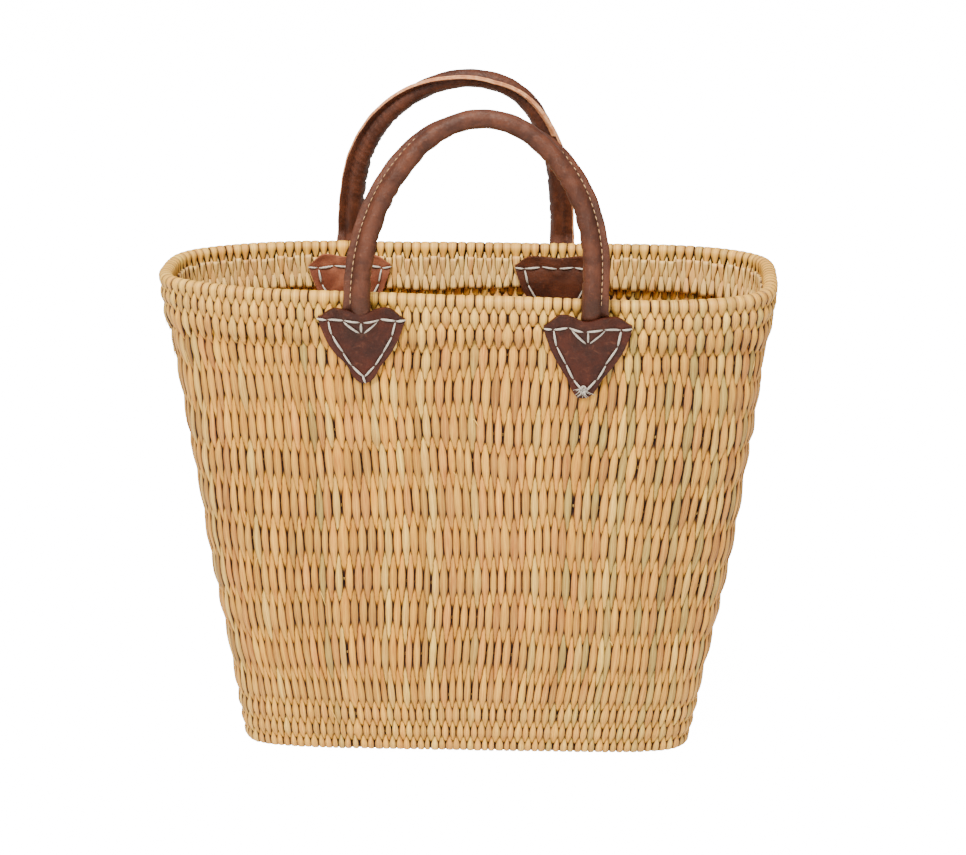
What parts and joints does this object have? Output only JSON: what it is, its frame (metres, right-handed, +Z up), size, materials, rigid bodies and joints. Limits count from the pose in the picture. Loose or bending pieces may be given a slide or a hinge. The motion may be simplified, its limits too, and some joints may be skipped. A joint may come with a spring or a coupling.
{
  "type": "woven market basket",
  "caption": "Tapered market basket of rush reeds woven over palm cords, with two rolled leather handles stitched on through leather patches.",
  "frame": {"origin": "middle of the base, on the surface that the basket stands on", "axes": "+Z up, +X along the length to the right as seen from the front, -Y to the front"},
  "size_m": [0.438, 0.2064, 0.4785],
  "materials": {
    "reed": "dried rush, satin, straw coloured",
    "palm_cord": "twisted palm fibre, matt, brown",
    "leather": "waxed vegetable tanned leather, reddish brown",
    "thread": "waxed thread, off-white"
  },
  "bodies": {
    "basket": {"back_left_inner_patch": "leather", "back_left_inner_stitching": "thread", "back_left_outer_patch": "leather", "back_left_outer_stitching": "thread", "back_left_strap_end": "leather", "back_right_inner_patch": "leather", "back_right_inner_stitching": "thread", "back_right_outer_patch": "leather", "back_right_outer_stitching": "thread", "back_right_strap_end": "leather", "base_cord_1": "palm_cord", "base_cord_2": "palm_cord", "base_cord_3": "palm_cord", "base_cord_4": "palm_cord", "base_cord_5": "palm_cord", "base_cord_6": "palm_cord", "base_cord_7": "palm_cord", "base_reeds_lower": "reed", "base_reeds_upper": "reed", "front_left_inner_patch": "leather", "front_left_inner_stitching": "thread", "front_left_outer_patch": "leather", "front_left_outer_stitching": "thread", "front_left_strap_end": "leather", "front_right_inner_patch": "leather", "front_right_inner_stitching": "thread", "front_right_outer_patch": "leather", "front_right_outer_stitching": "thread", "front_right_strap_end": "leather", "inner_reeds": "reed", "outer_reeds": "reed", "rim_cord": "palm_cord", "rim_fold": "reed", "wall_cord_01": "palm_cord", "wall_cord_02": "palm_cord", "wall_cord_03": "palm_cord", "wall_cord_04": "palm_cord", "wall_cord_05": "palm_cord", "wall_cord_06": "palm_cord", "wall_cord_07": "palm_cord", "wall_cord_08": "palm_cord", "wall_cord_09": "palm_cord", "wall_cord_10": "palm_cord", "wall_cord_11": "palm_cord", "wall_cord_12": "palm_cord", "wall_cord_13": "palm_cord", "wall_cord_14": "palm_cord"},
    "front_handle": {"front_handle_sleeve": "leather", "front_handle_core": "palm_cord", "front_handle_seam": "thread"},
    "back_handle": {"back_handle_sleeve": "leather", "back_handle_core": "palm_cord", "back_handle_seam": "thread"}
  },
  "joints": [
    {"name": "front_handle_swing", "type": "hinge", "parent": "basket", "child": "front_handle", "pos_m": [0.00875, -0.0965, 0.348], "axis": [1, 0, 0], "range_deg": [-20, 100]},
    {"name": "back_handle_swing", "type": "hinge", "parent": "basket", "child": "back_handle", "pos_m": [-0.0138, 0.0965, 0.348], "axis": [-1, 0, 0], "range_deg": [-20, 100]}
  ]
}
